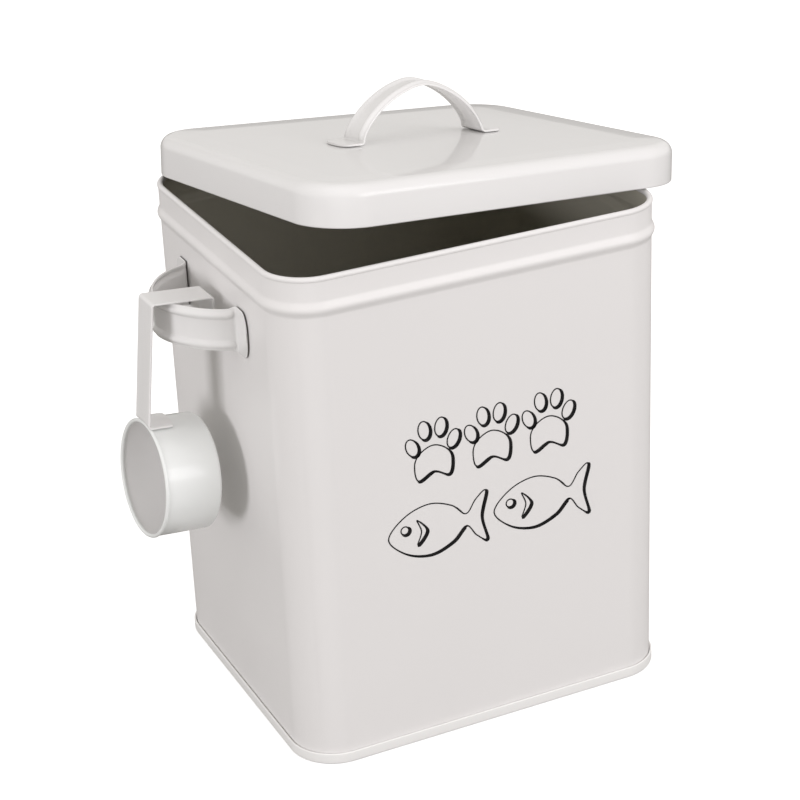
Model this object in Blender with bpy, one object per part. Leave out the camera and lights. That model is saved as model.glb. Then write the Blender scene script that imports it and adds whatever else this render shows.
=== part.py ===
"""A pet food bin: a sheet-steel bin with rounded corners, a loose lid lying ajar on
its rim, a strap handle on each side and a measuring scoop hung on the left one.

Metres, +Z up.  The origin is the middle of the underside, +X runs to the right along
the front wall and +Y to the back.
"""

from collections import namedtuple
from math import asin, atan, atan2, cos, pi, radians, sin, sqrt, tan

import bmesh
import bpy
from mathutils import Euler, Matrix, Vector

# Sheet and clearances
SHEET = 0.0008  # wall, base, lid and cup
GAP = 0.0003  # between neighbouring pieces

# Bin: outline of the plain wall, and its height over the rolled rim
BIN_WIDTH = 0.185
BIN_DEPTH = 0.1595
BIN_HEIGHT = 0.236
BIN_CORNER = 0.021
RIM_ROLL = 0.00135  # radius of the rolled rim
RIM_PROUD = 0.0004  # how far the rim stands out from the wall
STOP_BEAD_Z = 0.2215  # middle of the bead that the lid's skirt stops on
STOP_BEAD_TALL = 0.0080
STOP_BEAD_PROUD = 0.0013

# Base: a flat pan whose hem is folded up round the wall's foot
HEM_TALL = 0.0055
HEM_PROUD = 0.0013
PAN_BEAD_OUT = 0.0080  # stiffening bead in the pan, from the wall to its outer side
PAN_BEAD_WIDE = 0.0075
PAN_BEAD_RISE = 0.0012
PAN_BEAD_SLOPE = 0.0015
PAN_FLAT = 0.0175  # from the wall to the flat middle

# Lid: outline of the skirt, and how the lid lies on the rim
LID_WIDTH = 0.1915
LID_DEPTH = 0.1660
LID_HEIGHT = 0.0186
LID_CORNER = 0.0242
LID_PANEL_IN = 0.0165  # from the skirt to the flat panel of the top
LID_SLOPE = radians(1.3)  # fall of the border between the panel and the edge
LID_EDGE = 0.0058  # radius of the edge between the border and the skirt
LID_HEM = 0.0008  # half the thickness of the folded lower edge
LID_HEM_TALL = 0.0050
LID_TWIST = 0.106  # the thin lid lies slightly twisted: its fall per metre of x by y
LID_CENTRE = Vector((0.01296, 0.01246, 0.2341))  # middle of the skirt's lower edge
LID_TURN = Euler((radians(-6.88), radians(6.54), radians(5.94)))

# Strap handles: what the three share
STRAP_THICK = 0.0010
RIB_WIDE = 0.0046  # pressed ribs along both edges
RIB_RISE = 0.0013
RIB_MOST = 0.9  # of half a strap's width
TAB_ROUND_LONG = 0.0045  # rounding of a tab's end, along it
TAB_TIP_WIDTH = 0.0050  # what the rounding leaves of the tab's width at its tip
RIB_FADE = 0.0050  # length over which the ribs rise out of a tab
BEND = 0.0017  # radius of a strap's bends

# Each handle's arch is a superellipse over the middle of its sheet
Strap = namedtuple("Strap", "half_span rise power width tab_width tab_end lean")
SIDE_STRAP = Strap(0.0300, 0.0266, 1.70, 0.0194, 0.0217, 0.0415, 0.042)
LID_STRAP = Strap(0.0319, 0.0248, 1.61, 0.0167, 0.0185, 0.0430, 0.0)
SIDE_HANDLE_Y = 0.0006
SIDE_HANDLE_Z = 0.1984
LID_HANDLE_X = 0.0012
LID_HANDLE_Y = 0.0010

# Scoop: a cup on a hooked strap.  Its own frame starts at the strap's top outer
# corner, x towards the wall, z up.
SCOOP_CORNER = Vector((-0.1263, -0.0077, 0.2118))
SCOOP_TURN = Euler((radians(1.5), radians(6.1), radians(2.9)))
SCOOP_WIDTH = 0.01475
SCOOP_BEND = 0.0012
HOOK_ARM = 0.0296
HOOK_LIP = 0.0125
SCOOP_DROP = 0.0583  # from the top of the hook to the underside of the strap's tab
SCOOP_TAB = 0.0120
SCOOP_ROUND = 0.0012
CUP_RADIUS = 0.0265
CUP_DEPTH = 0.0272
CUP_ROLL = 0.0009
CUP_ROLL_PROUD = 0.0005
CUP_EDGE = 0.0020
CUP_MOUTH_X = 0.0009

# How finely curves are cut
CORNER_STEPS = 8
BEAD_STEPS = 6
ROLL_STEPS = 8
BEND_STEPS = 4
ARCH_STEPS = 12
RIB_STEPS = 6
NOSE_STEPS = 3
CUP_SIDES = 48
FLAT_SHARE = 0.01  # a curl begins this far along, nearly flat

ENAMEL = (0.76, 0.75, 0.73, 1.0)


def clear_scene():
    for item in list(bpy.data.objects):
        bpy.data.objects.remove(item, do_unlink=True)


def enamel(name):
    material = bpy.data.materials.new(name)
    material.use_nodes = True
    shader = material.node_tree.nodes["Principled BSDF"]
    shader.inputs["Base Color"].default_value = ENAMEL
    shader.inputs["Roughness"].default_value = 0.25
    shader.inputs["Metallic"].default_value = 0.0
    return material


def finish(name, mesh, place=None, parent=None):
    """Turn a bmesh into the node called name."""
    bmesh.ops.recalc_face_normals(mesh, faces=mesh.faces)
    data = bpy.data.meshes.new(name)
    mesh.to_mesh(data)
    mesh.free()
    data.shade_smooth()
    data.set_sharp_from_angle(angle=radians(35))
    data.materials.append(enamel(name))
    node = bpy.data.objects.new(name, data)
    bpy.context.collection.objects.link(node)
    node.parent = parent
    if place is not None:
        node.matrix_local = place
    return node


def pivot(name, point, turn):
    """An empty on a joint, which carries the pieces that move together."""
    empty = bpy.data.objects.new(name, None)
    bpy.context.collection.objects.link(empty)
    empty.location = point
    empty.rotation_euler = turn
    return empty


def arc(x, y, radius, start, end, steps):
    """Points of an arc from one angle to the other, in radians."""
    angles = [start + (end - start) * i / steps for i in range(steps + 1)]
    return [(x + radius * cos(a), y + radius * sin(a)) for a in angles]


def rounded_outline(width, depth, radius):
    """Points of a rounded rectangle, each with its outward normal."""
    outline = []
    for quarter in range(4):
        side_x = 1 if quarter in (0, 3) else -1
        side_y = 1 if quarter in (0, 1) else -1
        x = side_x * (width / 2 - radius)
        y = side_y * (depth / 2 - radius)
        for step in range(CORNER_STEPS + 1):
            angle = (quarter + step / CORNER_STEPS) * pi / 2
            normal = (cos(angle), sin(angle))
            outline.append((x + radius * normal[0], y + radius * normal[1], *normal))
    return outline


def ring_round(mesh, outline, offset, z):
    return [mesh.verts.new((x + nx * offset, y + ny * offset, z)) for x, y, nx, ny in outline]


def join_rings(mesh, rings, closed):
    """Quads between each ring and the next, and back to the first when closed."""
    pairs = list(zip(rings, rings[1:]))
    if closed:
        pairs.append((rings[-1], rings[0]))
    for low, high in pairs:
        for i, vert in enumerate(low):
            j = (i + 1) % len(low)
            mesh.faces.new((vert, low[j], high[j], high[i]))


def shell(outline, profile, closed):
    """Carry a profile of (offset, z) round an outline.  An open profile is a dish,
    closed by a flat face over its first ring and another over its last."""
    mesh = bmesh.new()
    rings = [ring_round(mesh, outline, offset, z) for offset, z in profile]
    join_rings(mesh, rings, closed)
    if not closed:
        mesh.faces.new(rings[0])
        mesh.faces.new(rings[-1])
    return mesh


def bead_points(face, upwards):
    """The stop bead's raised-cosine swell on one face of the wall."""
    points = []
    for i in range(BEAD_STEPS + 1):
        share = i / BEAD_STEPS if upwards else 1 - i / BEAD_STEPS
        swell = STOP_BEAD_PROUD * (1 - cos(2 * pi * share)) / 2
        points.append((face + swell, STOP_BEAD_Z + STOP_BEAD_TALL * (share - 0.5)))
    return points


def body_wall():
    """The four walls in one strip of sheet, with the stop bead and the rolled rim."""
    foot = SHEET + GAP
    roll_x = RIM_PROUD - RIM_ROLL
    start = -asin(sqrt(RIM_ROLL**2 - roll_x**2) / RIM_ROLL)
    end = 3 * pi / 2 + asin((-SHEET - roll_x) / RIM_ROLL)
    profile = [(0.0, foot)] + bead_points(0.0, True)
    profile += arc(roll_x, BIN_HEIGHT - RIM_ROLL, RIM_ROLL, start, end, ROLL_STEPS)
    profile += bead_points(-SHEET, False) + [(-SHEET, foot)]
    outline = rounded_outline(BIN_WIDTH, BIN_DEPTH, BIN_CORNER)
    finish("body_wall", shell(outline, profile, closed=True))


def pan_bead(level):
    """The stiffening bead of the pan on one of its faces, from the middle outwards."""
    inner = -PAN_BEAD_OUT - PAN_BEAD_WIDE
    top = level + PAN_BEAD_RISE
    return [
        (inner, level),
        (inner + PAN_BEAD_SLOPE, top),
        (-PAN_BEAD_OUT - PAN_BEAD_SLOPE, top),
        (-PAN_BEAD_OUT, level),
    ]


def base_pan():
    """The bottom, with its hem standing round the wall's foot."""
    thick = HEM_PROUD - GAP
    profile = [(-PAN_FLAT, 0.0)] + pan_bead(0.0)
    profile += arc(GAP, thick, thick, -pi / 2, 0.0, BEND_STEPS)
    profile += arc(GAP + thick / 2, HEM_TALL - thick / 2, thick / 2, 0.0, pi, BEND_STEPS)
    profile += [(GAP, SHEET)] + pan_bead(SHEET)[::-1] + [(-PAN_FLAT, SHEET)]
    outline = rounded_outline(BIN_WIDTH, BIN_DEPTH, BIN_CORNER)
    finish("base_pan", shell(outline, profile, closed=False))


def lid_panel(parent):
    """The pressed lid: flat top, rounded edge, and a skirt with a folded lower edge."""
    border = LID_PANEL_IN - LID_EDGE + LID_EDGE * sin(LID_SLOPE)
    turn_z = LID_HEIGHT - border * tan(LID_SLOPE) - LID_EDGE * cos(LID_SLOPE)
    fold = 2 * LID_HEM
    profile = [(-LID_PANEL_IN, LID_HEIGHT)]
    profile += arc(-LID_EDGE, turn_z, LID_EDGE, pi / 2 - LID_SLOPE, 0.0, ROLL_STEPS)
    profile += arc(-LID_HEM, LID_HEM, LID_HEM, 0.0, -pi, BEND_STEPS)
    profile += [(-fold, LID_HEM_TALL), (-SHEET, LID_HEM_TALL + fold / 2)]
    profile += arc(-LID_EDGE, turn_z, LID_EDGE - SHEET, 0.0, pi / 2 - LID_SLOPE, ROLL_STEPS)
    profile += [(-LID_PANEL_IN, LID_HEIGHT - SHEET)]
    mesh = shell(rounded_outline(LID_WIDTH, LID_DEPTH, LID_CORNER), profile, closed=False)
    for vert in mesh.verts:
        vert.co.z -= LID_TWIST * vert.co.x * vert.co.y
    finish("lid_panel", mesh, parent=parent)


def strap_section(width, rib):
    """Section of a strap as (across, out) points.  rib runs from 0, a plain strip with
    round edges, to 1, a raised-cosine rib along both edges."""
    half = STRAP_THICK / 2
    edge = width / 2 - half
    wide = min(RIB_WIDE, edge * RIB_MOST)
    outside = []
    inside = []
    for i in range(RIB_STEPS + 1):
        share = i / RIB_STEPS
        lift = rib * RIB_RISE * (1 - cos(2 * pi * share)) / 2
        tilt = atan(-rib * RIB_RISE * pi / wide * sin(2 * pi * share))
        across = edge - wide * share
        outside.append((across - half * sin(tilt), lift + half * cos(tilt)))
        inside.append((across + half * sin(tilt), lift - half * cos(tilt)))
    nose = arc(edge, 0.0, half, -pi / 2, pi / 2, NOSE_STEPS)[1:-1]
    right = inside[::-1] + nose + outside
    return right + [(-across, out) for across, out in reversed(right)]


def sweep_strap(path, lean=0.0):
    """Skin sections along a bent strap.  Each stop on the path holds x, z, the
    direction of travel, the width, the rib and the radius its width is curled to.
    lean shifts the strap across by that share of its height."""
    mesh = bmesh.new()
    rings = []
    for x, z, angle, width, rib, curl in path:
        out = (sin(angle), -cos(angle))
        ring = []
        for across, lift in strap_section(width, rib):
            if curl:
                lift += curl - sqrt(curl**2 - across**2)
            shift = lean * (z - path[0][1])
            ring.append(mesh.verts.new((x + out[0] * lift, across + shift, z + out[1] * lift)))
        rings.append(ring)
    join_rings(mesh, rings, closed=False)
    mesh.faces.new(rings[0])
    mesh.faces.new(rings[-1])
    return mesh


def rounded_end(end_x, z, angle, width, long, wide, curl=0.0):
    """Stops that round a strap's end off, from its tip to its full width.  The strap
    travels along x at angle, end_x is the tip, and long by wide is the rounding."""
    stops = []
    for i in range(BEND_STEPS + 1):
        turn = pi / 2 * (1 - i / BEND_STEPS)
        back = long * (1 - sin(turn))
        stops.append((end_x + cos(angle) * back, z, angle, width - 2 * wide * (1 - cos(turn)), 0, curl))
    return stops


def arch_half(strap):
    """Half of a handle's centre line, from the fold at its tab to the apex, as
    (x, z, direction of travel)."""
    fold_z = GAP + STRAP_THICK / 2 + BEND
    low = asin((fold_z / strap.rise) ** (strap.power / 2))
    foot_x = strap.half_span * cos(low) ** (2 / strap.power)
    line = []
    for i in range(BEND_STEPS + 1):
        angle = pi / 2 * i / BEND_STEPS
        line.append((foot_x + BEND * (1 - sin(angle)), fold_z - BEND * cos(angle), pi - angle))
    for i in range(1, ARCH_STEPS + 1):
        turn = low + (pi / 2 - low) * i / ARCH_STEPS
        x = strap.half_span * cos(turn) ** (2 / strap.power) if i < ARCH_STEPS else 0.0
        z = strap.rise * sin(turn) ** (2 / strap.power)
        slope_x = strap.half_span**-strap.power * x ** (strap.power - 1)
        slope_z = strap.rise**-strap.power * z ** (strap.power - 1)
        line.append((x, z, atan2(slope_x, -slope_z)))
    return line


def strap_handle(name, strap, place, parent=None):
    """An arched strap with a rib along each edge and a flat tab at each end."""
    line = arch_half(strap)
    rounding = (strap.tab_width - TAB_TIP_WIDTH) / 2
    lie = GAP + STRAP_THICK / 2
    half = rounded_end(strap.tab_end, lie, pi, strap.tab_width, TAB_ROUND_LONG, rounding)
    walked = 0.0
    for i, (x, z, angle) in enumerate(line):
        if i:
            walked += (Vector((x, z)) - Vector(line[i - 1][:2])).length
        rib = min(1.0, walked / RIB_FADE)
        rib = rib * rib * (3 - 2 * rib)
        width = strap.tab_width + (strap.width - strap.tab_width) * rib
        half.append((x, z, angle, width, rib, 0.0))
    other = [(-x, z, -angle, *rest) for x, z, angle, *rest in reversed(half[:-1])]
    finish(name, sweep_strap(half + other, strap.lean), place, parent)


def side_handle(name, side):
    """A handle on the left (-1) or right (1) wall, arching away from it."""
    out = Vector((side, 0, 0))
    up = Vector((0, 0, 1))
    turn = Matrix((up.cross(out), up, out)).transposed().to_4x4()
    place = Matrix.Translation((side * BIN_WIDTH / 2, SIDE_HANDLE_Y, SIDE_HANDLE_Z)) @ turn
    strap_handle(name, SIDE_STRAP, place)


def bend_stops(x, z, start, end, curl=0.0):
    """Stops round a bend of the scoop's strap, whose direction turns from start to end
    while its width curls to a radius."""
    stops = []
    for i in range(BEND_STEPS + 1):
        share = i / BEND_STEPS
        angle = start + (end - start) * share
        radius = curl / max(share, FLAT_SHARE)
        place = (x + SCOOP_BEND * sin(angle), z - SCOOP_BEND * cos(angle))
        stops.append((*place, angle, SCOOP_WIDTH, 0, radius))
    return stops


def scoop_strap(parent):
    """The scoop's hanger: a hook with a short lip, a long straight drop, and a tab
    curled to lie on the cup."""
    middle = STRAP_THICK / 2
    inset = middle + SCOOP_BEND
    curl = CUP_RADIUS + CUP_ROLL_PROUD + GAP + middle
    path = [(HOOK_ARM - middle, -HOOK_LIP, pi / 2, SCOOP_WIDTH, 0, 0.0)]
    path += bend_stops(HOOK_ARM - inset, -inset, pi / 2, pi)
    path += bend_stops(inset, -inset, pi, 3 * pi / 2)
    path += bend_stops(inset, inset - SCOOP_DROP, 3 * pi / 2, 2 * pi, curl)
    tip = rounded_end(SCOOP_TAB, middle - SCOOP_DROP, pi, SCOOP_WIDTH, SCOOP_ROUND, SCOOP_ROUND, curl)
    path += [(x, z, 2 * pi, *rest) for x, z, angle, *rest in reversed(tip)]
    finish("scoop_strap", sweep_strap(path), parent=parent)


def cup_profile():
    """The cup's section as (x, radius), from the middle of its closed end and back."""
    corner = CUP_MOUTH_X + CUP_DEPTH - CUP_EDGE
    roll_r = CUP_RADIUS + CUP_ROLL_PROUD - CUP_ROLL
    roll_x = CUP_MOUTH_X + CUP_ROLL
    outside = asin((CUP_RADIUS - roll_r) / CUP_ROLL)
    inside = 2 * pi + asin((CUP_RADIUS - SHEET - roll_r) / CUP_ROLL)
    points = arc(corner, CUP_RADIUS - CUP_EDGE, CUP_EDGE, 0.0, pi / 2, BEND_STEPS)
    points += arc(roll_x, roll_r, CUP_ROLL, outside, inside, ROLL_STEPS)
    points += arc(corner, CUP_RADIUS - CUP_EDGE, CUP_EDGE - SHEET, pi / 2, 0.0, BEND_STEPS)
    return points


def scoop_cup(parent):
    """The scoop's round cup, lying on its side with its mouth turned away from the bin."""
    axis_z = -SCOOP_DROP - GAP - CUP_ROLL_PROUD - CUP_RADIUS
    mesh = bmesh.new()
    rings = []
    for x, radius in cup_profile():
        points = arc(0.0, axis_z, radius, 0.0, 2 * pi, CUP_SIDES)[:-1]
        rings.append([mesh.verts.new((x, y, z)) for y, z in points])
    join_rings(mesh, rings, closed=False)
    mesh.faces.new(rings[0])
    mesh.faces.new(rings[-1])
    finish("scoop_cup", mesh, parent=parent)


def build():
    clear_scene()
    body_wall()
    base_pan()
    side_handle("side_handle_left", -1)
    side_handle("side_handle_right", 1)
    lid = pivot("lid", LID_CENTRE, LID_TURN)
    lid_panel(lid)
    lid_top = Matrix.Translation((LID_HANDLE_X, LID_HANDLE_Y, LID_HEIGHT))
    strap_handle("lid_handle", LID_STRAP, lid_top, lid)
    scoop = pivot("scoop", SCOOP_CORNER, SCOOP_TURN)
    scoop_cup(scoop)
    scoop_strap(scoop)


build()
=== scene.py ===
"""Looks of the pet food bin: finely pressed sheet pieces in glossy enamel, a printed
pictogram on the front wall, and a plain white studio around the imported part.

Metres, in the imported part's frame: the origin is the middle of the bin's underside,
+X runs to the right along the front wall and +Y to the back.
"""

from collections import namedtuple
from math import asin, atan, atan2, cos, pi, radians, sin, sqrt, tan

import bmesh
import bpy
from mathutils import Euler, Matrix, Vector


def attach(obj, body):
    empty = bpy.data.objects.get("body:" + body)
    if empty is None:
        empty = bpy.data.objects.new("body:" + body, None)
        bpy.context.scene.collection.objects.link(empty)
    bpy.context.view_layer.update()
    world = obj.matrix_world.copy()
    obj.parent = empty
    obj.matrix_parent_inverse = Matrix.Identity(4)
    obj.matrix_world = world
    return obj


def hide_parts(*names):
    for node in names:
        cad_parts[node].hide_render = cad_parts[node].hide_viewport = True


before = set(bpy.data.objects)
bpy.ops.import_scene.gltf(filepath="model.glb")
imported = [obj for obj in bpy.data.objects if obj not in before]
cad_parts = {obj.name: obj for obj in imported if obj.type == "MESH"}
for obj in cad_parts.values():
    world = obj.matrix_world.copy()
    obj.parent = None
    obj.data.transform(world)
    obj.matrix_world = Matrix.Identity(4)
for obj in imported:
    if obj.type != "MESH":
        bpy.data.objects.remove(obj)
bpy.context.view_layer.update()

# ---- Dimensions, the same as the part's ----
SHEET = 0.0008
GAP = 0.0003  # between neighbouring pieces

BIN_WIDTH = 0.185
BIN_DEPTH = 0.1595
BIN_HEIGHT = 0.236
BIN_CORNER = 0.021
RIM_ROLL = 0.00135
RIM_PROUD = 0.0004
STOP_BEAD_Z = 0.2215
STOP_BEAD_TALL = 0.0080
STOP_BEAD_PROUD = 0.0013

HEM_TALL = 0.0055
HEM_PROUD = 0.0013
PAN_BEAD_OUT = 0.0080
PAN_BEAD_WIDE = 0.0075
PAN_BEAD_RISE = 0.0012
PAN_FLAT = 0.0175

LID_WIDTH = 0.1915
LID_DEPTH = 0.1660
LID_HEIGHT = 0.0186
LID_CORNER = 0.0242
LID_PANEL_IN = 0.0165
LID_SLOPE = radians(1.3)
LID_EDGE = 0.0058
LID_HEM = 0.0008
LID_HEM_TALL = 0.0050
LID_TWIST = 0.106
LID_PLACE = Matrix.LocRotScale(
    Vector((0.01296, 0.01246, 0.2341)),
    Euler((radians(-6.88), radians(6.54), radians(5.94))),
    None,
)

STRAP_THICK = 0.0010
RIB_WIDE = 0.0046
RIB_RISE = 0.0013
RIB_MOST = 0.9  # of half a strap's width
TAB_ROUND_LONG = 0.0045
TAB_TIP_WIDTH = 0.0050
RIB_FADE = 0.0050
BEND = 0.0017
Strap = namedtuple("Strap", "half_span rise power width tab_width tab_end lean")
SIDE_STRAP = Strap(0.0300, 0.0266, 1.70, 0.0194, 0.0217, 0.0415, 0.042)
LID_STRAP = Strap(0.0319, 0.0248, 1.61, 0.0167, 0.0185, 0.0430, 0.0)
SIDE_HANDLE_Y = 0.0006
SIDE_HANDLE_Z = 0.1984
LID_HANDLE_X = 0.0012
LID_HANDLE_Y = 0.0010

SCOOP_PLACE = Matrix.LocRotScale(
    Vector((-0.1263, -0.0077, 0.2118)),
    Euler((radians(1.5), radians(6.1), radians(2.9))),
    None,
)
SCOOP_WIDTH = 0.01475
SCOOP_BEND = 0.0012
HOOK_ARM = 0.0296
HOOK_LIP = 0.0125
SCOOP_DROP = 0.0583
SCOOP_TAB = 0.0120
SCOOP_ROUND = 0.0012
CUP_RADIUS = 0.0265
CUP_DEPTH = 0.0272
CUP_ROLL = 0.0009
CUP_ROLL_PROUD = 0.0005
CUP_EDGE = 0.0020
CUP_MOUTH_X = 0.0009

# ---- Looks only ----
SEAM_WIDTH = 0.0090  # lap of the wall's sheet, up the middle of the back
SEAM_PROUD = 0.0006
SEAM_EDGE = 0.0004
SEAM_CORNER = SEAM_WIDTH / 6
SEAM_LIFT = GAP / 10  # from the wall to the back of the lap
CREVICE = 0.0009  # painted shade reaches this high over the sheet under a handle
CREASE = 0.0030  # width over which the lid's panel turns into its border
PRINT_LINE = 0.0006  # width of the pictogram's plain line
PRINT_SHADE = 0.0014  # extra width on the sides that face down and right
PRINT_SIDE = Vector((0.75, -0.66))  # the way the pictogram's thick side faces
PRINT_THICK = 0.00006
PRINT_LIFT = 0.00002  # from the wall to the back of the print
PAW_X = (-0.0265, 0.0020, 0.0305)
PAW_Z = 0.1440
FISH_X = (-0.0255, 0.0265)
FISH_Z = 0.1070
TOE_LONG = 0.0044
TOE_WIDE = 0.0027
FISH_EYE = 0.0019

# How finely curves are cut
CORNER_STEPS = 24
BEAD_STEPS = 24
ROLL_STEPS = 20
BEND_STEPS = 10
ARCH_STEPS = 60
END_STEPS = 12
RIB_STEPS = 16
NOSE_STEPS = 8
CUP_SIDES = 144
CUP_END_RINGS = (0.05, 0.5, 0.96)  # places of rings on the cup's flat end
PANEL_RINGS = 12  # across the lid's flat panel
PANEL_MIDDLE = 0.98  # share of the way in at which the panel's rings end
HEM_STEPS = 4
LEAST_CORNER = 0.0004
FLAT_SHARE = 0.01  # a curl begins this far along, nearly flat
PRINT_STEPS = 14


# ---- Materials ----
NOISE_RANGE = (0.1, 0.9)  # what noise keeps between
CLOUD_SCALE = 16.0
SHINE_SCALE = 45.0
WAVE_SCALE = 22.0
WAVE_SLIGHT = 0.00003
WAVE_PLAIN = 0.00012
PEEL_SCALE = 420.0
PEEL_DEEP = 0.000004
COAT_ROUGH = 0.07
INK_SCALE = 260.0
INK_DEEP = 0.00001
INK_SHINE = 0.2
INK_TONES = ((0.004, 0.004, 0.005), (0.014, 0.013, 0.013))
# near-black painted shade, mixed into the cream in a handle's fold crevice
PAINTED_SHADE = (0.05, 0.045, 0.04, 1.0)

# Sockets of a Mix node in its colour mode
MIX_A = 6
MIX_B = 7
MIX_RESULT = 2


def add_node(tree, kind, **inputs):
    """A shader node of that kind, with its inputs set by name."""
    made = tree.nodes.new(kind)
    for name, value in inputs.items():
        made.inputs[name].default_value = value
    return made


def noise(tree, coords, scale, detail):
    made = add_node(tree, "ShaderNodeTexNoise", Scale=scale, Detail=detail)
    tree.links.new(coords, made.inputs["Vector"])
    return made.outputs["Fac"]


def ramp(tree, source, low, high, stops):
    """A colour ramp over source, from low to high, between two colours."""
    made = add_node(tree, "ShaderNodeValToRGB")
    for element, place, colour in zip(made.color_ramp.elements, (low, high), stops):
        element.position = place
        element.color = (*colour, 1.0)
    tree.links.new(source, made.inputs["Fac"])
    return made.outputs["Color"]


def spread(tree, source, low, high):
    """Noise stretched to the range from low to high."""
    made = add_node(tree, "ShaderNodeMapRange")
    limits = (*NOISE_RANGE, low, high)
    for name, value in zip(("From Min", "From Max", "To Min", "To Max"), limits):
        made.inputs[name].default_value = value
    tree.links.new(source, made.inputs["Value"])
    return made.outputs["Result"]


def bump(tree, height, distance, below=None):
    made = add_node(tree, "ShaderNodeBump", Strength=1.0, Distance=distance)
    tree.links.new(height, made.inputs["Height"])
    if below is not None:
        tree.links.new(below, made.inputs["Normal"])
    return made.outputs["Normal"]


def new_material(name):
    """A material with its Principled shader and the object's own coordinates."""
    material = bpy.data.materials.new(name)
    material.use_nodes = True
    tree = material.node_tree
    shader = tree.nodes["Principled BSDF"]
    coords = tree.nodes.new("ShaderNodeTexCoord").outputs["Object"]
    return material, tree, shader, coords


def enamel(name, light, dark, rough, coat, wave=WAVE_SLIGHT):
    """Fired enamel: faint clouding, an orange-peel skin and sheet that isn't quite flat."""
    material, tree, shader, coords = new_material(name)
    cloud = noise(tree, coords, CLOUD_SCALE, 1.0)
    shine = noise(tree, coords, SHINE_SCALE, 1.0)
    waves = bump(tree, noise(tree, coords, WAVE_SCALE, 0.0), wave)
    peel = bump(tree, noise(tree, coords, PEEL_SCALE, 0.0), PEEL_DEEP, waves)
    colour = ramp(tree, cloud, *NOISE_RANGE, (dark, light))
    tree.links.new(colour, shader.inputs["Base Color"])
    tree.links.new(spread(tree, shine, *rough), shader.inputs["Roughness"])
    tree.links.new(peel, shader.inputs["Normal"])
    tree.links.new(peel, shader.inputs["Coat Normal"])
    shader.inputs["Coat Weight"].default_value = coat
    shader.inputs["Coat Roughness"].default_value = COAT_ROUGH
    return material


def strap_enamel(name):
    """Cream enamel, darkened with painted shade in the crevice that a vertex attribute marks."""
    material = enamel(name, *CREAM_LOOK)
    tree = material.node_tree
    shader = tree.nodes["Principled BSDF"]
    clean = shader.inputs["Base Color"].links[0].from_socket
    # painted shade: a vertex mask mixes the near-black shade colour into the cream
    mark = tree.nodes.new("ShaderNodeAttribute")
    mark.attribute_name = "painted_shade"
    mix = tree.nodes.new("ShaderNodeMix")
    mix.data_type = "RGBA"
    mix.inputs[MIX_B].default_value = PAINTED_SHADE
    tree.links.new(mark.outputs["Fac"], mix.inputs["Factor"])
    tree.links.new(clean, mix.inputs[MIX_A])
    tree.links.new(mix.outputs[MIX_RESULT], shader.inputs["Base Color"])
    return material


def print_ink(name):
    """The black print: satin, with a slightly uneven lay of ink."""
    material, tree, shader, coords = new_material(name)
    lay = noise(tree, coords, INK_SCALE, 3.0)
    tree.links.new(ramp(tree, lay, 0.35, 0.7, INK_TONES), shader.inputs["Base Color"])
    tree.links.new(spread(tree, lay, 0.40, 0.60), shader.inputs["Roughness"])
    tree.links.new(bump(tree, lay, INK_DEEP), shader.inputs["Normal"])
    shader.inputs["Specular IOR Level"].default_value = INK_SHINE
    return material


# Each look: light and dark tones, range of roughness, weight of the coat, waviness
CREAM_LOOK = ((0.820, 0.811, 0.806), (0.808, 0.799, 0.794), (0.29, 0.38), 0.7)
# the cup's outside takes a lighter, greener copy of the cream while its inside stays cream: painted
# light on its lit face
BOWL_LOOK = ((0.852, 0.868, 0.858), (0.840, 0.856, 0.846), (0.29, 0.38), 0.7)
WALL_LOOK = ((0.806, 0.790, 0.783), (0.794, 0.778, 0.771), (0.34, 0.50), 0.12, WAVE_PLAIN)
# the pan is lighter than the wall: painted light standing in for light bounced up from the floor
BASE_LOOK = ((0.870, 0.862, 0.850), (0.855, 0.847, 0.835), (0.34, 0.50), 0.12)
# the hollows' inner faces take the cream enamel darkened to olive: painted shade for the unlit
# inside
SHADED_INSIDE_LOOK = ((0.600, 0.575, 0.490), (0.590, 0.565, 0.480), (0.34, 0.46), 0.2)

CREAM = enamel("cream_enamel", *CREAM_LOOK)
BOWL = enamel("bowl_enamel", *BOWL_LOOK)
WALL = enamel("wall_enamel", *WALL_LOOK)
BASE = enamel("base_enamel", *BASE_LOOK)
SHADED_INSIDE = enamel("shaded_inside_enamel", *SHADED_INSIDE_LOOK)
HANDLE = strap_enamel("strap_enamel")
INK = print_ink("print_ink")


# ---- Mesh tools ----
def piece(name, mesh, body, place=None, nodes=(), materials=(CREAM,)):
    """Turn a bmesh into a smooth piece that rides on body and stands for nodes."""
    bmesh.ops.recalc_face_normals(mesh, faces=mesh.faces)
    data = bpy.data.meshes.new(name)
    mesh.to_mesh(data)
    mesh.free()
    if place is not None:
        data.transform(place)
    data.shade_smooth()
    data.set_sharp_from_angle(angle=radians(32))
    for material in materials:
        data.materials.append(material)
    made = bpy.data.objects.new(name, data)
    bpy.context.scene.collection.objects.link(made)
    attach(made, body)
    if nodes:
        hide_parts(*nodes)
    return made


def arc(x, y, radius, start, end, steps):
    """Points of an arc from one angle to the other, in radians."""
    angles = [start + (end - start) * i / steps for i in range(steps + 1)]
    return [(x + radius * cos(a), y + radius * sin(a)) for a in angles]


def rounded_outline(width, depth, radius):
    """Points of a rounded rectangle."""
    outline = []
    for quarter in range(4):
        side_x = 1 if quarter in (0, 3) else -1
        side_y = 1 if quarter in (0, 1) else -1
        x = side_x * (width / 2 - radius)
        y = side_y * (depth / 2 - radius)
        for step in range(CORNER_STEPS + 1):
            angle = (quarter + step / CORNER_STEPS) * pi / 2
            outline.append((x + radius * cos(angle), y + radius * sin(angle)))
    return outline


def ring_round(mesh, size, offset, z):
    """One ring of vertices at an offset from an outline of (width, depth, radius).
    Corners never get sharper than LEAST_CORNER."""
    width, depth, radius = size
    radius = max(radius + offset, LEAST_CORNER)
    outline = rounded_outline(width + 2 * offset, depth + 2 * offset, radius)
    return [mesh.verts.new((x, y, z)) for x, y in outline]


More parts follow.
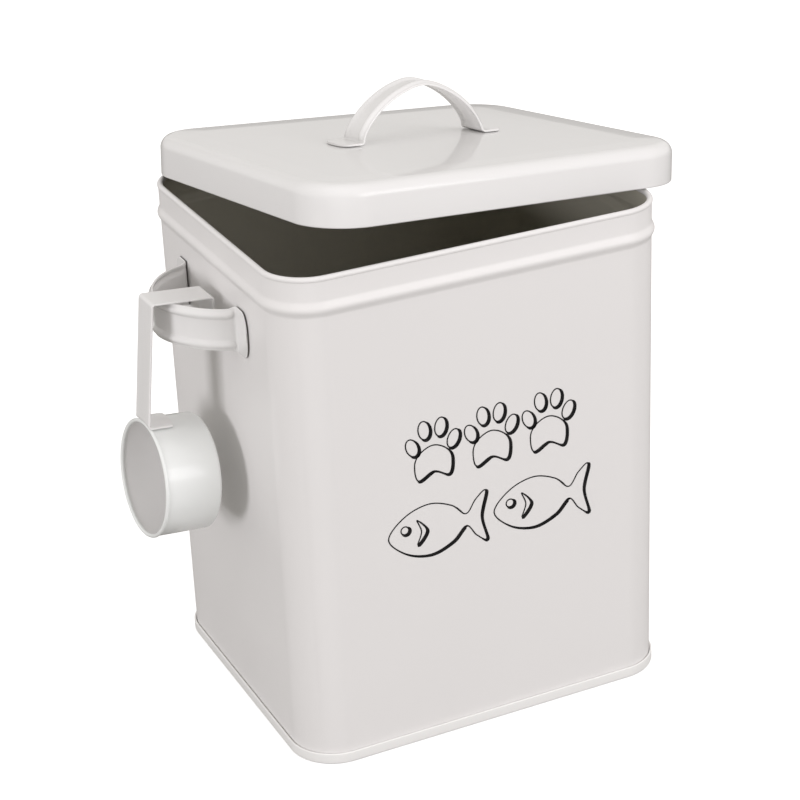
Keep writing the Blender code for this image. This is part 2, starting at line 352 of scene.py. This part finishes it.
def join_rings(mesh, rings, closed, inside=None):
    """Quads between each ring and the next.  inside gives the ring numbers between
    which a face takes the second material."""
    pairs = list(zip(rings, rings[1:]))
    if closed:
        pairs.append((rings[-1], rings[0]))
    for number, (low, high) in enumerate(pairs):
        for i, vert in enumerate(low):
            j = (i + 1) % len(low)
            face = mesh.faces.new((vert, low[j], high[j], high[i]))
            if inside and inside[0] <= number < inside[1]:
                face.material_index = 1


def shell(size, profile, closed, inside=None):
    """Carry a profile of (offset, z) round an outline of (width, depth, radius).  An
    open profile is a dish, closed by a face over its first ring and its last."""
    mesh = bmesh.new()
    rings = [ring_round(mesh, size, offset, z) for offset, z in profile]
    join_rings(mesh, rings, closed, inside)
    if not closed:
        mesh.faces.new(rings[0])
        last = mesh.faces.new(rings[-1])
        last.material_index = 1 if inside else 0
    return mesh


# ---- Bin ----
def bead_points(face, upwards):
    """The stop bead's raised-cosine swell on one face of the wall."""
    points = []
    for i in range(BEAD_STEPS + 1):
        share = i / BEAD_STEPS if upwards else 1 - i / BEAD_STEPS
        swell = STOP_BEAD_PROUD * (1 - cos(2 * pi * share)) / 2
        points.append((face + swell, STOP_BEAD_Z + STOP_BEAD_TALL * (share - 0.5)))
    return points


def body_wall():
    foot = SHEET + GAP
    roll_x = RIM_PROUD - RIM_ROLL
    start = -asin(sqrt(RIM_ROLL**2 - roll_x**2) / RIM_ROLL)
    end = 3 * pi / 2 + asin((-SHEET - roll_x) / RIM_ROLL)
    profile = [(0.0, foot)] + bead_points(0.0, True)
    profile += arc(roll_x, BIN_HEIGHT - RIM_ROLL, RIM_ROLL, start, end, ROLL_STEPS)
    inside = (len(profile) - 1, len(profile) + BEAD_STEPS + 1)
    profile += bead_points(-SHEET, False) + [(-SHEET, foot)]
    mesh = shell((BIN_WIDTH, BIN_DEPTH, BIN_CORNER), profile, True, inside)
    piece("bin_wall", mesh, "bin", nodes=["body_wall"], materials=(WALL, SHADED_INSIDE))


def back_seam():
    """The lap where the wall's sheet meets itself, up the middle of the back wall."""
    low = HEM_TALL + GAP
    high = STOP_BEAD_Z - STOP_BEAD_TALL / 2 - GAP
    wall = BIN_DEPTH / 2
    size = (SEAM_WIDTH, high - low, SEAM_CORNER)
    rings = [(0.0, 0.0)] + arc(-SEAM_EDGE, SEAM_PROUD - SEAM_EDGE, SEAM_EDGE, 0, pi / 2, BEND_STEPS)
    mesh = shell(size, rings, False)
    stand = Matrix(((1, 0, 0), (0, 0, 1), (0, 1, 0))).to_4x4()
    place = Matrix.Translation((0, wall + SEAM_LIFT, (low + high) / 2)) @ stand
    piece("back_seam", mesh, "bin", place, materials=(WALL,))


def pan_bead(level):
    """The stiffening bead of the pan on one of its faces, from the middle outwards."""
    points = []
    for i in range(BEAD_STEPS + 1):
        share = i / BEAD_STEPS
        rise = PAN_BEAD_RISE * (1 - cos(2 * pi * share)) / 2
        points.append((-PAN_BEAD_OUT - PAN_BEAD_WIDE * (1 - share), level + rise))
    return points


def base_pan():
    thick = HEM_PROUD - GAP
    profile = [(-PAN_FLAT, 0.0)] + pan_bead(0.0)
    profile += arc(GAP, thick, thick, -pi / 2, 0.0, BEND_STEPS)
    profile += arc(GAP + thick / 2, HEM_TALL - thick / 2, thick / 2, 0.0, pi, BEND_STEPS)
    inside = (len(profile), len(profile) + BEAD_STEPS + 2)
    profile += [(GAP, SHEET)] + pan_bead(SHEET)[::-1] + [(-PAN_FLAT, SHEET)]
    mesh = shell((BIN_WIDTH, BIN_DEPTH, BIN_CORNER), profile, False, inside)
    piece("bin_base", mesh, "bin", nodes=["base_pan"], materials=(BASE, SHADED_INSIDE))


# ---- Lid ----
def lid_face(level, edge):
    """One face of the lid's top, whose panel is at a level, out to the top of the skirt:
    flat, gently bent down along the crease, and round an edge radius."""
    border = LID_PANEL_IN - LID_EDGE + LID_EDGE * sin(LID_SLOPE)
    middle = -PANEL_MIDDLE * LID_DEPTH / 2
    points = []
    for i in range(PANEL_RINGS):
        share = i / PANEL_RINGS
        points.append((middle + (-LID_PANEL_IN - CREASE - middle) * share, level))
    for i in range(BEND_STEPS + 1):
        share = i / BEND_STEPS
        fall = CREASE * tan(LID_SLOPE) * share * share / 2
        points.append((-LID_PANEL_IN + CREASE * (share - 0.5), level - fall))
    turn_z = LID_HEIGHT - border * tan(LID_SLOPE) - LID_EDGE * cos(LID_SLOPE)
    return points + arc(-LID_EDGE, turn_z, edge, pi / 2 - LID_SLOPE, 0.0, ROLL_STEPS)


def lid_panel():
    fold = 2 * LID_HEM
    profile = lid_face(LID_HEIGHT, LID_EDGE)
    profile += arc(-LID_HEM, LID_HEM, LID_HEM, 0.0, -pi, BEND_STEPS)
    hem_top = LID_HEM_TALL - LID_HEM / 2
    profile += [(-fold, hem_top)] + arc(-1.5 * LID_HEM, hem_top, LID_HEM / 2, pi, pi / 2, HEM_STEPS)
    under = lid_face(LID_HEIGHT - SHEET, LID_EDGE - SHEET)[::-1]
    inside = (len(profile), len(profile) + len(under))
    mesh = shell((LID_WIDTH, LID_DEPTH, LID_CORNER), profile + under, False, inside)
    for vert in mesh.verts:
        vert.co.z -= LID_TWIST * vert.co.x * vert.co.y
    piece("lid_top", mesh, "lid", LID_PLACE, ["lid_panel"], (CREAM, SHADED_INSIDE))


# ---- Strap handles ----
def strap_section(width, rib):
    """Section of a strap as (across, out) points.  rib runs from 0, a plain strip with
    round edges, to 1, a raised-cosine rib along both edges."""
    half = STRAP_THICK / 2
    edge = width / 2 - half
    wide = min(RIB_WIDE, edge * RIB_MOST)
    outside = []
    inside = []
    for i in range(RIB_STEPS + 1):
        share = i / RIB_STEPS
        lift = rib * RIB_RISE * (1 - cos(2 * pi * share)) / 2
        tilt = atan(-rib * RIB_RISE * pi / wide * sin(2 * pi * share))
        across = edge - wide * share
        outside.append((across - half * sin(tilt), lift + half * cos(tilt)))
        inside.append((across + half * sin(tilt), lift - half * cos(tilt)))
    nose = arc(edge, 0.0, half, -pi / 2, pi / 2, NOSE_STEPS)[1:-1]
    right = inside[::-1] + nose + outside
    return right + [(-across, out) for across, out in reversed(right)]


def sweep_strap(path, lean=0.0):
    """Skin sections along a bent strap.  Each stop on the path holds x, z, the
    direction of travel, the width, the rib and the radius its width is curled to.
    lean shifts the strap across by that share of its height."""
    mesh = bmesh.new()
    rings = []
    for x, z, angle, width, rib, curl in path:
        out = (sin(angle), -cos(angle))
        shift = lean * (z - path[0][1])
        ring = []
        for across, lift in strap_section(width, rib):
            if curl:
                lift += curl - sqrt(curl**2 - across**2)
            ring.append(mesh.verts.new((x + out[0] * lift, across + shift, z + out[1] * lift)))
        rings.append(ring)
    join_rings(mesh, rings, closed=False)
    mesh.faces.new(rings[0])
    mesh.faces.new(rings[-1])
    return mesh


def rounded_end(end_x, z, angle, width, long, wide, curl=0.0):
    """Stops that round a strap's end off, from its tip to its full width.  The strap
    travels along x at angle, end_x is the tip, and long by wide is the rounding."""
    stops = []
    for i in range(END_STEPS + 1):
        turn = pi / 2 * (1 - i / END_STEPS)
        x = end_x + cos(angle) * long * (1 - sin(turn))
        stops.append((x, z, angle, width - 2 * wide * (1 - cos(turn)), 0, curl))
    return stops


def arch_half(strap):
    """Half of a handle's centre line, from the fold at its tab to the apex, as
    (x, z, direction of travel)."""
    fold_z = GAP + STRAP_THICK / 2 + BEND
    low = asin((fold_z / strap.rise) ** (strap.power / 2))
    foot_x = strap.half_span * cos(low) ** (2 / strap.power)
    line = []
    for i in range(BEND_STEPS + 1):
        angle = pi / 2 * i / BEND_STEPS
        line.append((foot_x + BEND * (1 - sin(angle)), fold_z - BEND * cos(angle), pi - angle))
    for i in range(1, ARCH_STEPS + 1):
        turn = low + (pi / 2 - low) * i / ARCH_STEPS
        x = strap.half_span * cos(turn) ** (2 / strap.power) if i < ARCH_STEPS else 0.0
        z = strap.rise * sin(turn) ** (2 / strap.power)
        slope_x = strap.half_span**-strap.power * x ** (strap.power - 1)
        slope_z = strap.rise**-strap.power * z ** (strap.power - 1)
        line.append((x, z, atan2(slope_x, -slope_z)))
    return line


def strap_handle(strap, shade_reach):
    """An arched strap with a rib along each edge and a flat tab at each end, with
    painted shade low down on it, in the crevice over the sheet, within a reach of its middle."""
    line = arch_half(strap)
    rounding = (strap.tab_width - TAB_TIP_WIDTH) / 2
    lie = GAP + STRAP_THICK / 2
    half = rounded_end(strap.tab_end, lie, pi, strap.tab_width, TAB_ROUND_LONG, rounding)
    walked = 0.0
    for i, (x, z, angle) in enumerate(line):
        if i:
            walked += (Vector((x, z)) - Vector(line[i - 1][:2])).length
        rib = min(1.0, walked / RIB_FADE)
        rib = rib * rib * (3 - 2 * rib)
        width = strap.tab_width + (strap.width - strap.tab_width) * rib
        half.append((x, z, angle, width, rib, 0.0))
    other = [(-x, z, -angle, *rest) for x, z, angle, *rest in reversed(half[:-1])]
    mesh = sweep_strap(half + other, strap.lean)
    # painted shade: mark the strap's underside near the sheet, where the fold's crevice is in shade
    painted_shade = mesh.verts.layers.float.new("painted_shade")
    for vert in mesh.verts:
        low = vert.co.z < CREVICE and abs(vert.co.x) < shade_reach
        vert[painted_shade] = 1.0 if low else 0.0
    return mesh


def side_handle(name, side, node):
    """A handle on the left (-1) or right (1) wall, arching away from it."""
    out = Vector((side, 0, 0))
    up = Vector((0, 0, 1))
    turn = Matrix((up.cross(out), up, out)).transposed().to_4x4()
    place = Matrix.Translation((side * BIN_WIDTH / 2, SIDE_HANDLE_Y, SIDE_HANDLE_Z)) @ turn
    mesh = strap_handle(SIDE_STRAP, 2 * SIDE_STRAP.tab_end)
    piece(name, mesh, "bin", place, [node], (HANDLE,))


def lid_handle():
    place = LID_PLACE @ Matrix.Translation((LID_HANDLE_X, LID_HANDLE_Y, LID_HEIGHT))
    mesh = strap_handle(LID_STRAP, LID_STRAP.half_span)
    piece("lid_grip", mesh, "lid", place, ["lid_handle"], (HANDLE,))


# ---- Scoop ----
def bend_stops(x, z, start, end, curl=0.0):
    """Stops round a bend of the scoop's strap, whose direction turns from start to end
    while its width curls to a radius."""
    stops = []
    for i in range(BEND_STEPS + 1):
        share = i / BEND_STEPS
        angle = start + (end - start) * share
        radius = curl / max(share, FLAT_SHARE)
        place = (x + SCOOP_BEND * sin(angle), z - SCOOP_BEND * cos(angle))
        stops.append((*place, angle, SCOOP_WIDTH, 0, radius))
    return stops


def scoop_strap():
    middle = STRAP_THICK / 2
    inset = middle + SCOOP_BEND
    curl = CUP_RADIUS + CUP_ROLL_PROUD + GAP + middle
    path = [(HOOK_ARM - middle, -HOOK_LIP, pi / 2, SCOOP_WIDTH, 0, 0.0)]
    path += bend_stops(HOOK_ARM - inset, -inset, pi / 2, pi)
    path += bend_stops(inset, -inset, pi, 3 * pi / 2)
    path += bend_stops(inset, inset - SCOOP_DROP, 3 * pi / 2, 2 * pi, curl)
    tip_z = middle - SCOOP_DROP
    tip = rounded_end(SCOOP_TAB, tip_z, pi, SCOOP_WIDTH, SCOOP_ROUND, SCOOP_ROUND, curl)
    path += [(x, z, 2 * pi, *rest) for x, z, angle, *rest in reversed(tip)]
    piece("scoop_hanger", sweep_strap(path), "scoop", SCOOP_PLACE, ["scoop_strap"])


def cup_profile():
    """The cup's section as (x, radius), from the middle of its closed end and back."""
    corner = CUP_MOUTH_X + CUP_DEPTH - CUP_EDGE
    roll_r = CUP_RADIUS + CUP_ROLL_PROUD - CUP_ROLL
    roll_x = CUP_MOUTH_X + CUP_ROLL
    outside = asin((CUP_RADIUS - roll_r) / CUP_ROLL)
    inside = 2 * pi + asin((CUP_RADIUS - SHEET - roll_r) / CUP_ROLL)
    flat = [(CUP_RADIUS - CUP_EDGE) * share for share in CUP_END_RINGS]
    points = [(corner + CUP_EDGE, radius) for radius in flat]
    points += arc(corner, CUP_RADIUS - CUP_EDGE, CUP_EDGE, 0.0, pi / 2, BEND_STEPS)
    points += arc(roll_x, roll_r, CUP_ROLL, outside, inside, ROLL_STEPS)
    points += arc(corner, CUP_RADIUS - CUP_EDGE, CUP_EDGE - SHEET, pi / 2, 0.0, BEND_STEPS)
    return points + [(corner + CUP_EDGE - SHEET, radius) for radius in reversed(flat)]


def scoop_cup():
    axis_z = -SCOOP_DROP - GAP - CUP_ROLL_PROUD - CUP_RADIUS
    mesh = bmesh.new()
    rings = []
    for x, radius in cup_profile():
        points = arc(0.0, axis_z, radius, 0.0, 2 * pi, CUP_SIDES)[:-1]
        rings.append([mesh.verts.new((x, y, z)) for y, z in points])
    inside = len(rings) - BEND_STEPS - 2 - len(CUP_END_RINGS)
    join_rings(mesh, rings, False, (inside, len(rings)))
    mesh.faces.new(rings[0])
    mesh.faces.new(rings[-1]).material_index = 1
    piece("scoop_bowl", mesh, "scoop", SCOOP_PLACE, ["scoop_cup"], (BOWL, CREAM))


# ---- Print on the front wall ----
def smooth_loop(points):
    """A closed Catmull-Rom curve through points."""
    loop = []
    count = len(points)
    for i in range(count):
        a, b, c, d = (Vector(points[(i + k) % count]) for k in (-1, 0, 1, 2))
        for step in range(PRINT_STEPS):
            t = step / PRINT_STEPS
            loop.append(
                b + (c - a) * t / 2 + (2 * a - 5 * b + 4 * c - d) * t * t / 2
                + (3 * b - a - 3 * c + d) * t**3 / 2
            )
    return loop


def shape(middle, points):
    """A closed curve through points given in millimetres from middle."""
    return smooth_loop([middle + Vector(point) / 1000 for point in points])


def oval(centre, long, wide, tilt):
    """A closed ellipse, counter-clockwise, with its long half-axis turned by tilt."""
    turn = Matrix.Rotation(tilt, 2)
    steps = 4 * PRINT_STEPS
    angles = [2 * pi * i / steps for i in range(steps)]
    return [Vector(centre) + turn @ Vector((long * cos(a), wide * sin(a))) for a in angles]


def printed_line(mesh, loop):
    """A closed line of print along a counter-clockwise loop of (x, z) on the front
    wall, thicker where its outer side faces down and right."""
    back = -BIN_DEPTH / 2 - PRINT_LIFT
    front = back - PRINT_THICK
    count = len(loop)
    rings = []
    for y, side in ((front, -1), (front, 1), (back, 1), (back, -1)):
        ring = []
        for i, point in enumerate(loop):
            along = (loop[(i + 1) % count] - loop[i - 1]).normalized()
            out = Vector((along.y, -along.x))
            reach = PRINT_LINE / 2
            if side > 0:
                reach += PRINT_SHADE * max(0.0, out.dot(PRINT_SIDE))
            edge = point + out * side * reach
            ring.append(mesh.verts.new((edge.x, y, edge.y)))
        rings.append(ring)
    join_rings(mesh, rings, closed=True)


def paw_loops(middle):
    """A paw print: a broad pad under four toes."""
    pad = ((-9, -4), (-6, 1), (0, 3.5), (6, 1), (9, -4), (7.5, -12), (0, -9), (-7.5, -12))
    loops = [shape(middle, pad[::-1])]
    for x, z, tilt in ((-10, 4.5, 112), (-4, 11.5, 98), (4, 11.5, 82), (10, 4.5, 68)):
        loops.append(oval(middle + Vector((x, z)) / 1000, TOE_LONG, TOE_WIDE, radians(tilt)))
    return loops


def fish_loops(middle):
    """A fish that swims to the left, with an eye and a gill."""
    body = (
        (-24, 0), (-16, 9), (-4, 12.5), (7, 9), (14, 3), (19, 9), (24, 12), (21.5, 0),
        (24, -12), (19, -9), (14, -3), (7, -9), (-4, -12.5), (-16, -9),
    )
    gill = ((-10, 6), (-8, 0), (-10, -6), (-5.5, 0))
    eye = oval(middle + Vector((-16, 2.5)) / 1000, FISH_EYE, FISH_EYE, 0.0)
    return [shape(middle, body[::-1]), shape(middle, gill), eye]


def front_print():
    mesh = bmesh.new()
    loops = [loop for x in PAW_X for loop in paw_loops(Vector((x, PAW_Z)))]
    loops += [loop for x in FISH_X for loop in fish_loops(Vector((x, FISH_Z)))]
    for loop in loops:
        printed_line(mesh, loop)
    piece("front_print", mesh, "bin", materials=(INK,))


# ---- Studio ----
FLOOR_REACH = 6.0

# The camera's place, the way it looks, its tilt to the side and its focal length in mm
EYE = Vector((-0.4048, -0.8732, 0.5823))
LOOK = Vector((0.37726, 0.82287, -0.42492))
ROLL = radians(-2.56)
LENS = 102.1

BACKDROP = 1.0  # brightness of the background
AMBIENT = 0.64  # brightness of the room's light
AMBIENT_COLOUR = (1.0, 0.975, 0.935, 1)
PAPER = (0.9, 0.9, 0.9, 1)
PAPER_GLOW = 0.5  # lifts the paper to the background's white
PAPER_BOUNCE = (0.30, 0.295, 0.28, 1)  # what light that bounces off the paper meets

# Softboxes: where each stands, its width and height, its power, and which rays see it
TARGET = Vector((0, 0, BIN_HEIGHT / 2))
Softbox = namedtuple("Softbox", "name place width height power seen_by")
SOFTBOXES = (
    Softbox("left_key", Vector((-1.64, -0.53, 0.41)), 0.45, 0.45, 11.2, "diffuse"),
    Softbox("front_streak", Vector((0.76, -1.62, 0.75)), 1.0, 0.7, 4.4, "both"),
    Softbox("front_fill", Vector((0.76, -1.62, 0.75)), 1.2, 0.8, 9.2, "diffuse"),
    Softbox("right_fill", Vector((1.35, -1.45, 1.1)), 1.2, 1.2, 6.5, "diffuse"),
    Softbox("top_light", Vector((-0.1, -0.2, 1.6)), 1.2, 1.2, 2.3, "diffuse"),
    Softbox("back_card", Vector((1.05, 2.1, 0.7)), 2.5, 1.4, 2.0, "glossy"),
)
LIGHT_COLOUR = (0.985, 0.97, 1.0)


def camera():
    made = bpy.data.objects.new("camera", bpy.data.cameras.new("camera"))
    bpy.context.scene.collection.objects.link(made)
    forward = LOOK.normalized()
    level = forward.cross(Vector((0, 0, 1))).normalized()
    upright = level.cross(forward)
    right = level * cos(ROLL) + upright * sin(ROLL)
    up = right.cross(forward)
    turn = Matrix((right, up, -forward)).transposed().to_4x4()
    made.matrix_world = Matrix.Translation(EYE) @ turn
    made.data.lens = LENS
    made.data.sensor_width = 36.0
    bpy.context.scene.camera = made


def softbox(spec):
    light = bpy.data.lights.new(spec.name, "AREA")
    light.shape = "RECTANGLE"
    light.size = spec.width
    light.size_y = spec.height
    light.energy = spec.power
    light.color = LIGHT_COLOUR
    made = bpy.data.objects.new(spec.name, light)
    bpy.context.scene.collection.objects.link(made)
    made.location = spec.place
    made.rotation_euler = (TARGET - spec.place).to_track_quat("-Z", "Y").to_euler()
    made.visible_camera = False
    made.visible_glossy = spec.seen_by != "diffuse"
    made.visible_diffuse = spec.seen_by != "glossy"


def floor():
    mesh = bmesh.new()
    corners = ((-1, -1), (1, -1), (1, 1), (-1, 1))
    mesh.faces.new([mesh.verts.new((x * FLOOR_REACH, y * FLOOR_REACH, 0)) for x, y in corners])
    data = bpy.data.meshes.new("floor")
    mesh.to_mesh(data)
    mesh.free()
    made = bpy.data.objects.new("floor", data)
    bpy.context.scene.collection.objects.link(made)
    data.materials.append(floor_paper())


def floor_paper():
    """White paper that burns out to the backdrop's white."""
    material = bpy.data.materials.new("floor_paper")
    material.use_nodes = True
    tree = material.node_tree
    tree.nodes.remove(tree.nodes["Principled BSDF"])
    seen = add_node(tree, "ShaderNodeLightPath").outputs["Is Camera Ray"]
    paper = add_node(tree, "ShaderNodeBsdfDiffuse", Color=PAPER).outputs[0]
    glow = add_node(tree, "ShaderNodeEmission", Strength=PAPER_GLOW).outputs[0]
    both = tree.nodes.new("ShaderNodeAddShader")
    dull = add_node(tree, "ShaderNodeBsdfDiffuse", Color=PAPER_BOUNCE).outputs[0]
    choose = tree.nodes.new("ShaderNodeMixShader")
    tree.links.new(paper, both.inputs[0])
    tree.links.new(glow, both.inputs[1])
    tree.links.new(seen, choose.inputs[0])
    tree.links.new(dull, choose.inputs[1])
    tree.links.new(both.outputs[0], choose.inputs[2])
    tree.links.new(choose.outputs[0], tree.nodes["Material Output"].inputs["Surface"])
    return material


def room():
    """White to look at, and a softer white as light."""
    world = bpy.data.worlds.new("room")
    bpy.context.scene.world = world
    world.use_nodes = True
    tree = world.node_tree
    light = tree.nodes["Background"]
    light.inputs["Color"].default_value = AMBIENT_COLOUR
    light.inputs["Strength"].default_value = AMBIENT
    view = add_node(tree, "ShaderNodeBackground", Color=(1, 1, 1, 1), Strength=BACKDROP)
    seen = add_node(tree, "ShaderNodeLightPath").outputs["Is Camera Ray"]
    choose = tree.nodes.new("ShaderNodeMixShader")
    tree.links.new(seen, choose.inputs[0])
    tree.links.new(light.outputs[0], choose.inputs[1])
    tree.links.new(view.outputs[0], choose.inputs[2])
    tree.links.new(choose.outputs[0], tree.nodes["World Output"].inputs["Surface"])
    bpy.context.scene.view_settings.view_transform = "Standard"


body_wall()
back_seam()
base_pan()
side_handle("left_grip", -1, "side_handle_left")
side_handle("right_grip", 1, "side_handle_right")
lid_panel()
lid_handle()
scoop_strap()
scoop_cup()
front_print()

camera()
room()
floor()
for spec in SOFTBOXES:
    softbox(spec)
